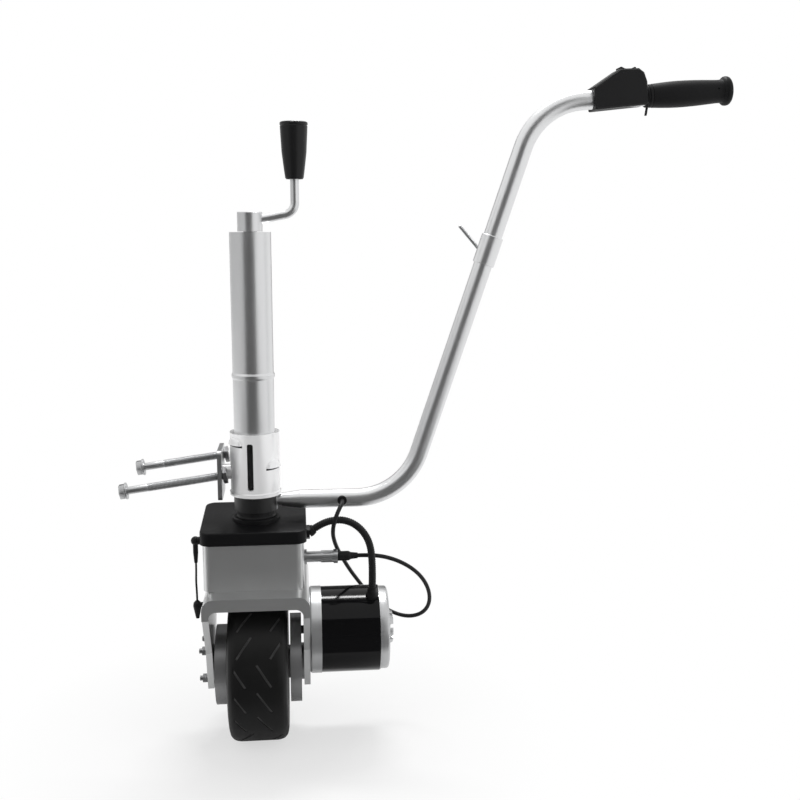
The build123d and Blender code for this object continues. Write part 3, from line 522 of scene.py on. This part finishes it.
# %% [markdown]
# The motor's lead is a ribbed sleeve. Its ribs are real rings: the spline is read as plain points, walked
# at an even step, and each step gets a ring of the rib's radius or the groove's.

# %% Motor lead as a ribbed tube
GLAND_TILT = math.radians(32)
BOOT_LEAN = math.radians(23)
NOZZLE = (62.5, -22, 275)
MOTOR_AXIS = (0, 0, 144.5)
MOTOR_RADIUS = 52
BOOT_X = 137.5


def nozzle_point(distance):
    """A point on the gland nozzle's axis, this far along it."""
    x, y, z = NOZZLE
    return (x + distance * math.cos(GLAND_TILT), y, z + distance * math.sin(GLAND_TILT))


def boot_point(out):
    """A point on the motor boot's axis, this far outside the motor's skin."""
    reach = MOTOR_RADIUS + out
    return (BOOT_X, -reach * math.sin(BOOT_LEAN), MOTOR_AXIS[2] + reach * math.cos(BOOT_LEAN))


motor_route = [
    nozzle_point(7), nozzle_point(19), (90.5, -22.2, 288.5), (102.5, -22.5, 289), (114.5, -23, 285),
    (124.5, -24.5, 277.5), (132, -27, 267), (136, -30, 254.5), (137.2, -32, 238.5), boot_point(28),
    boot_point(14.5),
]


def read_path(route):
    """The points of a route's own spline, read from a curve with no thickness."""
    guide = spline_along("guide", route, 0)
    line = bpy.data.meshes.new_from_object(guide)
    points = [vertex.co.copy() for vertex in line.vertices]
    bpy.data.objects.remove(guide)
    bpy.data.meshes.remove(line)
    return points


def walk(points, step):
    """Even steps along a chain of points."""
    lengths = [(b - a).length for a, b in zip(points, points[1:])]
    total = sum(lengths)
    count = max(2, round(total / step))
    walked, index, before = [], 0, 0.0
    for i in range(count + 1):
        distance = total * i / count
        while index < len(lengths) - 1 and before + lengths[index] < distance:
            before += lengths[index]
            index += 1
        share = (distance - before) / lengths[index]
        walked.append(points[index].lerp(points[index + 1], min(share, 1)))
    return walked


def ribbed_tube(name, points, radii, sides=24):
    """Rings along the points, joined into a closed tube. radii gives each ring's radius in metres."""
    vertices, faces = [], []
    up = Vector((0, 1, 0))
    for i, point in enumerate(points):
        ahead = (points[min(i + 1, len(points) - 1)] - points[max(i - 1, 0)]).normalized()
        across = ahead.cross(up).normalized()
        up = across.cross(ahead).normalized()
        for side in range(sides):
            angle = 2 * math.pi * side / sides
            vertices.append(point + (across * math.cos(angle) + up * math.sin(angle)) * radii[i])
    for i in range(len(points) - 1):
        for side in range(sides):
            a, b = i * sides + side, i * sides + (side + 1) % sides
            faces.append((a, b, b + sides, a + sides))
    faces.append(tuple(reversed(range(sides))))
    faces.append(tuple((len(points) - 1) * sides + side for side in range(sides)))
    mesh = bpy.data.meshes.new(name)
    mesh.from_pydata(vertices, [], faces)
    made = bpy.data.objects.new(name, mesh)
    bpy.context.collection.objects.link(made)
    pick(made)
    bpy.ops.object.mode_set(mode="EDIT")
    bpy.ops.mesh.select_all(action="SELECT")
    bpy.ops.mesh.normals_make_consistent(inside=False)
    bpy.ops.object.mode_set(mode="OBJECT")
    bpy.ops.object.shade_smooth_by_angle(angle=math.radians(50))
    return made


RING_STEP = 0.0006
RIB_RADII = (0.0045, 0.0045, 0.0041, 0.0041)
motor_line = read_path(motor_route)
motor_steps = walk(motor_line, RING_STEP)
ring_radii = [RIB_RADII[i % len(RIB_RADII)] for i in range(len(motor_steps))]
motor_sleeve = ribbed_tube("motor_cord", motor_steps, ring_radii)
dress(motor_sleeve, "rubber", "drive")
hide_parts("motor_lead")
motor_length = sum((b - a).length for a, b in zip(motor_line, motor_line[1:]))
at(*nozzle_point(7))
print("motor lead", round(motor_length * 1000), "mm,", len(motor_sleeve.data.polygons), "faces")

# %% [markdown]
# ## Turned pieces
# Most hardware is turned: an outline spun round an axis. The lathe starts from a small plane merged to one
# vertex, extrudes that vertex along the outline, spins the line and merges the seam. The finished piece is
# then laid on its axis, with its place in its mesh. What is drilled or slotted later is cut with a boolean.

# %% The lathe
def new_vertex(name):
    """One vertex at the origin, in edit mode. Vertex mode is set, or a lone vertex can't be selected."""
    deselect()
    bpy.ops.mesh.primitive_plane_add(size=0.01)
    made = bpy.context.object
    made.name = name
    made.data.name = name
    bpy.ops.object.mode_set(mode="EDIT")
    bpy.ops.mesh.select_mode(type="VERT")
    bpy.ops.mesh.select_all(action="SELECT")
    bpy.ops.mesh.merge(type="CENTER")
    return made


def turned(name, outline, origin, direction=(0, 0, 1), steps=64, angle=30):
    """outline is (radius, distance) pairs in millimetres, along direction from the workshop point origin.
    Edges sharper than angle stay sharp."""
    made = new_vertex(name)
    before = Vector()
    for i, (radius, distance) in enumerate(outline):
        here = Vector((radius / 1000, 0, distance / 1000))
        if i == 0:
            bpy.ops.transform.translate(value=here)
        else:
            bpy.ops.mesh.extrude_region_move(TRANSFORM_OT_translate={"value": here - before})
        before = here
    bpy.ops.mesh.select_all(action="SELECT")
    bpy.ops.mesh.spin(steps=steps, angle=2 * math.pi, center=(0, 0, 0), axis=(0, 0, 1))
    bpy.ops.mesh.select_all(action="SELECT")
    bpy.ops.mesh.remove_doubles(threshold=0.000005)
    bpy.ops.mesh.normals_make_consistent(inside=False)
    bpy.ops.object.mode_set(mode="OBJECT")
    turn = Vector((0, 0, 1)).rotation_difference(Vector(direction).normalized()).to_matrix().to_4x4()
    made.data.transform(Matrix.Translation(at(*origin)) @ turn)
    bpy.ops.object.shade_smooth_by_angle(angle=math.radians(angle))
    return made


def cut_away(piece, cutter, angle=None):
    """Takes the cutter's shape out of the piece with a boolean, and removes the cutter."""
    cut = piece.modifiers.new("cut", "BOOLEAN")
    cut.operation = "DIFFERENCE"
    cut.object = cutter
    cut.solver = "EXACT"
    pick(piece)
    bpy.ops.object.modifier_apply(modifier="cut")
    bpy.data.objects.remove(cutter)
    pick(piece)
    if angle:
        bpy.ops.object.shade_smooth_by_angle(angle=math.radians(angle))


print("lathe ready")

# %% [markdown]
# ## Tyre
# The tyre is turned first, with moulded rings on both flanks. Slanting sipes are then cut into the tread:
# thin bars are laid round it, joined, and taken away with one boolean. They lean one way for three rows
# and the other way for the next three.

# %% Turn the tyre
TYRE_SHARP = 24
flank = [
    (58, 29.5), (60, 33.2), (64, 34.2), (66, 33.8), (67.5, 34.6), (70, 35.1), (76, 35.5), (77, 35.0),
    (78, 35.5), (82, 34.9), (85.5, 33.9), (87.5, 32.5), (89.5, 30.4), (90.6, 28.5), (91.5, 25.5), (92, 21.5),
    (92, 7),
]
outline = [(r, -x) for r, x in flank] + list(reversed(flank)) + [(58, -29.5)]
tyre = turned("tyre_with_sipes", outline, AXLE, (1, 0, 0), steps=96, angle=TYRE_SHARP)
print("tyre", len(tyre.data.polygons), "faces")

# %% [markdown]
# Each sipe is a thin bar, 2.6 mm wide and 31 mm long. It is laid flat on the tread at the top, leaned,
# and then carried round the axle to its row. The cut is deepest in its middle, because the bar is straight
# and the tread is round.

# %% Cut the sipes
ROWS = 18
ROWS_PER_SWEEP = 3
FIRST_ROW = 17
SIPE = (0.0026, 0.031, 0.0075)
SIPE_FLOOR = 0.0904
RISING = {"lean": -34, "middles": (-15.3, 24.0)}
FALLING = {"lean": 33, "middles": (-21.9, 8.0)}
bars = []
for row in range(ROWS):
    sweep = RISING if (row // ROWS_PER_SWEEP) % 2 == 0 else FALLING
    for middle_x in sweep["middles"]:
        deselect()
        bpy.ops.mesh.primitive_cube_add(size=1)
        bar = bpy.context.object
        lean = Matrix.Rotation(math.radians(sweep["lean"]), 4, "Z")
        size = Matrix.Diagonal((*SIPE, 1))
        lift = Matrix.Translation((middle_x / 1000, 0, SIPE_FLOOR + SIPE[2] / 2))
        carry = Matrix.Rotation(math.radians(FIRST_ROW + row * 360 / ROWS), 4, "X")
        bar.data.transform(Matrix.Translation(at(*AXLE)) @ carry @ lift @ lean @ size)
        bars.append(bar)
pick(*bars)
bpy.ops.object.join()
cut_away(tyre, bpy.context.object, TYRE_SHARP)
dress(tyre, "tyre", "wheel")
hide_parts("tyre")
print("tyre with sipes", len(tyre.data.polygons), "faces")

# %% [markdown]
# ## Bolts with real threads
# The two drawbar bolts are M10. Their thread is turned as a row of V rings, which at this pitch can't be
# told from a helix, and the hexagon heads are six-sided cylinders with a bevelled crown. Both bolts droop by
# 8 degrees, as in the photograph.

# %% Bolts
def hexagon(name, flats, height, placed, bevel=0.5):
    """A hexagon block with softened edges; placed turns and carries it from +Z at the origin."""
    deselect()
    radius = flats / 2 / math.cos(math.pi / 6) / 1000
    bpy.ops.mesh.primitive_cylinder_add(vertices=6, radius=radius, depth=height / 1000)
    made = bpy.context.object
    made.name = name
    bpy.ops.object.mode_set(mode="EDIT")
    bpy.ops.mesh.select_all(action="SELECT")
    bpy.ops.mesh.bevel(offset=bevel / 1000, segments=2, affect="EDGES")
    bpy.ops.object.mode_set(mode="OBJECT")
    made.data.transform(placed @ Matrix.Translation((0, 0, height / 2000)))
    bpy.ops.object.shade_smooth_by_angle(angle=math.radians(25))
    return made


def join(name, *parts):
    """Makes one piece of several."""
    pick(*parts)
    bpy.ops.object.join()
    made = bpy.context.object
    made.name = name
    made.data.name = name
    return made


def thread(radius, start, end, pitch=1.5, depth=0.75):
    """A row of V rings along a profile."""
    turns = int(abs(end - start) / pitch)
    step = (end - start) / turns
    points = []
    for turn in range(turns):
        points.append((radius - depth, start + turn * step))
        points.append((radius, start + (turn + 0.5) * step))
    points.append((radius - depth, end))
    return points


DROOP = 8
BOLT_X = -38
PLATE_THICK = 5.0
THREAD_END = 6.09
THREAD_LENGTH = 24
HEAD_FLATS = 16
HEAD_HEIGHT = 6.5
for label, y, z, reach in (("near", -20.0, 345.5, 106.0), ("far", 20.0, 362.5, 91.0)):
    under_head = -PLATE_THICK - reach
    thread_start = under_head + THREAD_LENGTH
    washer_end = under_head - 2
    aim = (math.cos(math.radians(DROOP)), 0, math.sin(math.radians(DROOP)))
    shank = [(0, THREAD_END), (4.0, THREAD_END)] + thread(4.9, THREAD_END - 0.5, thread_start)
    shank += [(4.4, thread_start - 0.5), (4.4, under_head)]
    washer = [(9.6, under_head), (9.8, under_head - 0.3), (9.8, under_head - 1.6), (9.4, washer_end),
              (0, washer_end)]
    body = turned(f"shank_{label}", shank + washer, (BOLT_X, y, z), aim, steps=32)
    placed = Matrix.Translation(at(BOLT_X, y, z)) @ Matrix.Rotation(math.radians(90 - DROOP), 4, "Y")
    seat = Matrix.Translation((0, 0, (washer_end - HEAD_HEIGHT) / 1000))
    crown = hexagon(f"head_{label}", HEAD_FLATS, HEAD_HEIGHT, placed @ seat)
    bolt = join(f"drawbar_bolt_{label}", body, crown)
    dress(bolt, "zinc", "bracket")
    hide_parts("drawbar_bolts")
    print(bolt.name, len(bolt.data.polygons), "faces")

# %% [markdown]
# ## Grip
# The rubber grip swells in the middle and ends in a flange. Shallow rings near the thumb end and a narrow
# neck under the flange give it the look of a moulded sleeve.

# %% Grip
GRIP_X = 461.5
GRIP_RISE = 0.075
BEND_END = (396.7, 780)
GRIP_FOOT = (GRIP_X, 0, BEND_END[1] + GRIP_RISE * (GRIP_X - BEND_END[0]))
GRIP_END = 102.5
rings = [(11.0, 0), (12.4, 0), (12.9, 1.0), (13.0, 2.4), (12.5, 3.0), (12.5, 3.8), (13.2, 4.4), (13.4, 6.4),
         (13.0, 7.0), (13.0, 7.8), (13.6, 8.4)]
swell = [(13.8, 12), (14.4, 20), (14.95, 30), (15.2, 40), (15.1, 50), (14.8, 60), (14.3, 70), (13.7, 80),
         (13.3, 87), (13.3, 91)]
flange = [(13.8, 93.2), (15.4, 94.4), (16.5, 95.8), (16.8, 97.4), (16.7, 99.4), (16.0, 101.2),
          (14.6, GRIP_END), (6.5, GRIP_END), (6.0, GRIP_END - 0.6), (0, GRIP_END - 0.6)]
grip = turned("grip_sleeve", rings + swell + flange, GRIP_FOOT, (1, 0, GRIP_RISE), steps=72, angle=40)
dress(grip, "grip", "handle")
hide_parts("grip")
print("grip", len(grip.data.polygons), "faces")

# %% [markdown]
# The grip has one small vent hole near its end, on the side, where air leaves when it is pushed on.

# %% Vent hole
VENT_ALONG = 85
VENT_SIDE = -13.6
VENT_HEIGHT = 787
deselect()
bpy.ops.mesh.primitive_cylinder_add(vertices=16, radius=0.0011, depth=0.004)
drill = bpy.context.object
vent_place = at(GRIP_X + VENT_ALONG, VENT_SIDE, VENT_HEIGHT + GRIP_RISE * VENT_ALONG)
drill.data.transform(Matrix.Translation(vent_place) @ Matrix.Rotation(math.radians(90), 4, "X"))
cut_away(grip, drill)
print("grip with its vent", len(grip.data.polygons), "faces")

# %% [markdown]
# ## Scoops on the collar
# Two scoops are pressed out of the collar's wall, open at the foot. Each starts as a sphere, is squashed to
# an oval, and is cut level by a bisect that fills the cut. The fill is inset and pushed up to hollow it. A
# dark strip just proud of the wall, under each scoop's mouth, is painted shadow: the shadow that the scoop
# casts on the wall below it.

# %% Scoops
SCOOP_FROM_AXIS = 0.0283
SHADOW_STRIP_FROM_AXIS = 0.0291
SHADOW_STRIP_THICK = 0.0007
SCOOP_RIM = 0.0009


def scoop(name, angle, z, width, depth, height):
    """A pressed scoop on the collar, its mouth level at this height."""
    deselect()
    bpy.ops.mesh.primitive_uv_sphere_add(segments=32, ring_count=16, radius=1)
    made = bpy.context.object
    made.name = name
    bpy.ops.object.mode_set(mode="EDIT")
    bpy.ops.mesh.select_all(action="SELECT")
    bpy.ops.transform.resize(value=(depth / 1000, width / 2000, height / 1000))
    bpy.ops.mesh.bisect(plane_co=(0, 0, 0), plane_no=(0, 0, 1), clear_inner=True, use_fill=True)
    bpy.ops.mesh.inset(thickness=SCOOP_RIM)
    bpy.ops.mesh.extrude_region_move(TRANSFORM_OT_translate={"value": (0, 0, height / 2000)})
    bpy.ops.mesh.select_all(action="SELECT")
    bpy.ops.mesh.normals_make_consistent(inside=False)
    bpy.ops.object.mode_set(mode="OBJECT")
    turn = Matrix.Rotation(math.radians(angle), 4, "Z")
    outward = Matrix.Translation((SCOOP_FROM_AXIS, 0, 0))
    made.data.transform(Matrix.Translation(at(0, 0, z)) @ turn @ outward)
    bpy.ops.object.shade_smooth_by_angle(angle=math.radians(40))
    return dress(made, "collar", "mast")


def painted_shadow_strip(name, angle, z, sweep, height):
    """A painted shadow under a scoop: a thin dark strip spun part of the way round the mast."""
    deselect()
    bpy.ops.mesh.primitive_plane_add(size=1, rotation=(math.radians(90), 0, 0))
    made = bpy.context.object
    made.name = name
    upright = Matrix.Diagonal((SHADOW_STRIP_THICK, 1, height / 1000, 1)) @ made.matrix_basis
    made.data.transform(Matrix.Translation((SHADOW_STRIP_FROM_AXIS, 0, 0)) @ upright)
    made.matrix_basis = Matrix()
    bpy.ops.object.mode_set(mode="EDIT")
    bpy.ops.mesh.select_all(action="SELECT")
    bpy.ops.mesh.spin(steps=16, angle=math.radians(sweep), center=(0, 0, 0), axis=(0, 0, 1))
    bpy.ops.mesh.select_all(action="SELECT")
    bpy.ops.mesh.normals_make_consistent(inside=False)
    bpy.ops.object.mode_set(mode="OBJECT")
    turn = Matrix.Rotation(math.radians(angle + sweep / 2), 4, "Z")
    made.data.transform(Matrix.Translation(at(0, 0, z)) @ turn)
    return dress(made, "plastic", "mast")


for side, angle, z in (("right", 322, 354.0), ("left", 218, 381.5)):
    pressed = scoop(f"scoop_{side}", angle, z, 23, 4.6, 9.5)
    # The dark strip under each scoop's mouth is painted shadow, in matt black plastic.
    cut = painted_shadow_strip(f"lance_{side}", angle, z - 1.3, 48, 2.4)
    print(pressed.name, len(pressed.data.polygons), "faces,", cut.name, len(cut.data.polygons), "faces")

# %% [markdown]
# ## Motor end cap
# The end cap is a cast cup with a small step at its rim, a squared shoulder and a raised boss. Slots run
# out across the boss like the teeth of a crown, so eight bars are laid like spokes and cut away.

# %% Motor end cap
CAP_SHARP = 28
SLOTS = 8
SLOT_SIZE = (0.008, 0.0046, 0.012)
SLOT_PLACE = (0.1638, 0, 0.0175)
cup = [(0, 147), (45, 147), (45, 146), (51.4, 146), (51.4, 147.4), (50.2, 147.8), (50.2, 154.6),
       (49.7, 156.0), (48.6, 157.1), (47.0, 157.6), (30, 158.4), (21.5, 158.6)]
boss = [(20.6, 159.0), (19.6, 162.6), (18.8, 163.6), (17.2, 164.2), (13.5, 164.2), (12.8, 163.6),
        (12.4, 161.4), (11.8, 160.8), (0, 160.8)]
cap = turned("end_cap_casting", cup + boss, MOTOR_AXIS, (1, 0, 0), steps=96, angle=CAP_SHARP)
spokes = []
for i in range(SLOTS):
    deselect()
    bpy.ops.mesh.primitive_cube_add(size=1)
    spoke = bpy.context.object
    turn = Matrix.Rotation(2 * math.pi * (i + 0.5) / SLOTS, 4, "X")
    size = Matrix.Diagonal((*SLOT_SIZE, 1))
    spoke.data.transform(Matrix.Translation(at(*MOTOR_AXIS)) @ turn @ Matrix.Translation(SLOT_PLACE) @ size)
    spokes.append(spoke)
pick(*spokes)
bpy.ops.object.join()
cut_away(cap, bpy.context.object, CAP_SHARP)
dress(cap, "motor_silver", "drive")
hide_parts("motor_end_cap")
print("end cap", len(cap.data.polygons), "faces")

# %% [markdown]
# ## Lid
# The lid is a moulded cover whose top rises towards the back, so that rain runs off. A cube gets round
# corners by a bevel on its four upright edges, each point of its top is lifted by how far back it is, and
# the top's edge gets a small bevel. A bore and a boss let the neck through.

# %% Lid
def block(name, low, high):
    """A cube between two workshop corners, with its place in its mesh."""
    deselect()
    bpy.ops.mesh.primitive_cube_add(size=1)
    made = bpy.context.object
    made.name = name
    made.data.name = name
    middle = (at(*low) + at(*high)) / 2
    made.data.transform(Matrix.Translation(middle) @ Matrix.Diagonal((*(at(*high) - at(*low)), 1)))
    return made


def bevel_edges(piece, wanted, offset, segments):
    """Bevels the edges for which wanted(a, b) holds, a and b being the edge's end points."""
    pick(piece)
    bpy.ops.object.mode_set(mode="EDIT")
    bpy.ops.mesh.select_mode(type="EDGE")
    bpy.ops.mesh.select_all(action="DESELECT")
    bpy.ops.object.mode_set(mode="OBJECT")
    points = piece.data.vertices
    for edge in piece.data.edges:
        edge.select = wanted(points[edge.vertices[0]].co, points[edge.vertices[1]].co)
    bpy.ops.object.mode_set(mode="EDIT")
    bpy.ops.mesh.bevel(offset=offset / 1000, segments=segments, affect="EDGES")
    bpy.ops.object.mode_set(mode="OBJECT")


LID_LOW = (-64.5, -52, 269.4)
LID_HIGH = (59.5, 62, 284.4)
LID_RISE = 8.2
UPRIGHT = 0.01
NECK_BORE = 0.0205
BORE_MIDDLE = (0, 0, 280)
lid = block("lid_cover", LID_LOW, LID_HIGH)
low, high = at(*LID_LOW), at(*LID_HIGH)
top_from = low.z + UPRIGHT
bevel_edges(lid, lambda a, b: abs(a.z - b.z) > UPRIGHT, offset=12, segments=8)
for vertex in lid.data.vertices:
    if vertex.co.z > top_from:
        vertex.co.z += LID_RISE / 1000 * (vertex.co.y - low.y) / (high.y - low.y)
bevel_edges(lid, lambda a, b: min(a.z, b.z) > top_from, offset=2, segments=4)
deselect()
bpy.ops.mesh.primitive_cylinder_add(vertices=48, radius=NECK_BORE, depth=0.06)
bore = bpy.context.object
bore.data.transform(Matrix.Translation(at(*BORE_MIDDLE)))
cut_away(lid, bore)
boss = [(20.6, 284.5), (29, 284.5), (28.4, 290.6), (26.5, 291.9), (20.6, 292.3), (20.6, 284.5)]
ring = turned("lid_ring", boss, (0, 0, 0), steps=48)
cover = join("lid_cover", lid, ring)
bpy.ops.object.shade_smooth_by_angle(angle=math.radians(35))
dress(cover, "lid", "drive")
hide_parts("box_lid")
print("lid", len(cover.data.polygons), "faces")

# %% [markdown]
# ## Floor
# The floor is a wide sheet of white paper that runs up to the tent's wall, so the picture has no horizon.
# Near the tyre it is real paper that takes the shadow. Further off, for the camera and in polished metal,
# it turns into the wall's white. The distance from the wheel drives the change.

# %% Floor
GROUND = at(0, 0, 12).z
PAPER_STARTS = 0.10
PAPER_FADE = 4.0
NEAR_WHITE = 0.6
deselect()
bpy.ops.mesh.primitive_plane_add(size=14, location=(0.15, 1.0, GROUND))
floor = bpy.context.object
floor.name = "floor"
bpy.ops.object.transform_apply(location=True, rotation=True, scale=True)
paper = Finish("white_paper", Roughness=0.85, Specular_IOR_Level=0.2)
paper.shader.inputs["Base Color"].default_value = (0.93, 0.93, 0.93, 1)
from_wheel = paper.node("ShaderNodeMapping", {}, {"Vector": paper.place, "Location": (-0.06, 0.0, -GROUND)})
distance = paper.node("ShaderNodeVectorMath", {"operation": "LENGTH"}, {0: from_wheel}, 1)
far = ((distance - PAPER_STARTS) * PAPER_FADE).clamp()
camera_ray = paper.node("ShaderNodeLightPath", {}, {}, "Is Camera Ray")
mirrored_ray = paper.node("ShaderNodeLightPath", {}, {}, "Is Glossy Ray")
white = paper.node("ShaderNodeEmission", {}, {"Strength": 1.0})
share = camera_ray * (far * (1 - NEAR_WHITE) + NEAR_WHITE) + mirrored_ray * far
lit_paper = Field(paper, paper.shader.outputs[0])
paper_mix = paper.node("ShaderNodeMixShader", {}, {0: share, 1: lit_paper, 2: white})
paper.tree.links.new(paper_mix.socket, paper.tree.nodes["Material Output"].inputs["Surface"])
floor.data.materials.append(paper.material)
print("floor at", round(GROUND, 4))

# %% [markdown]
# ## Flags
# Flags are dark cards that a photographer sets round the set: by the camera, on the table and behind. Only
# mirror-like reflections can see them. They put the dark band down every tube, and keep black parts black.

# %% Flags
flag_paint = Finish("dark_flag", Roughness=1.0, Specular_IOR_Level=0.0)
flag_paint.shader.inputs["Base Color"].default_value = (0.16, 0.16, 0.16, 1)


def flag(name, place, size, tilt, paint=flag_paint, turn=0):
    """A card that only mirror-like reflections see, tilted about X and then turned about Z."""
    deselect()
    angles = (math.radians(tilt), 0, math.radians(turn))
    bpy.ops.mesh.primitive_plane_add(size=1, location=place, rotation=angles)
    made = bpy.context.object
    made.name = name
    made.scale = (*size, 1)
    bpy.ops.object.transform_apply(location=True, rotation=True, scale=True)
    made.data.materials.append(paint.material)
    made.visible_camera = False
    made.visible_shadow = False
    made.visible_diffuse = False


flag("front_flag", (-0.35, -2.4, 0.4), (3.0, 3.6), 90)
flag("table_flag", (-0.2, -1.28, GROUND + 0.002), (2.6, 2.24), 0)
flag("back_flag", (0.1, 2.7, 0.45), (2.6, 1.9), 90)
print("three flags")

# %% [markdown]
# The mast's left side is a calm mid grey, because a dimmer panel of the tent stands there. It glows a little
# by itself, so it looks the same whatever the lamps do, and only reflections see it.

# %% Grey panel
panel_paint = Finish("grey_panel", Roughness=1.0, Specular_IOR_Level=0.0, Emission_Strength=0.6)
panel_paint.shader.inputs["Base Color"].default_value = (0, 0, 0, 1)
panel_paint.shader.inputs["Emission Color"].default_value = (1, 1, 1, 1)
flag("grey_panel", (-2.6, 0, 0.35), (7.0, 1.36), 90, panel_paint, 90)
print("one grey panel")
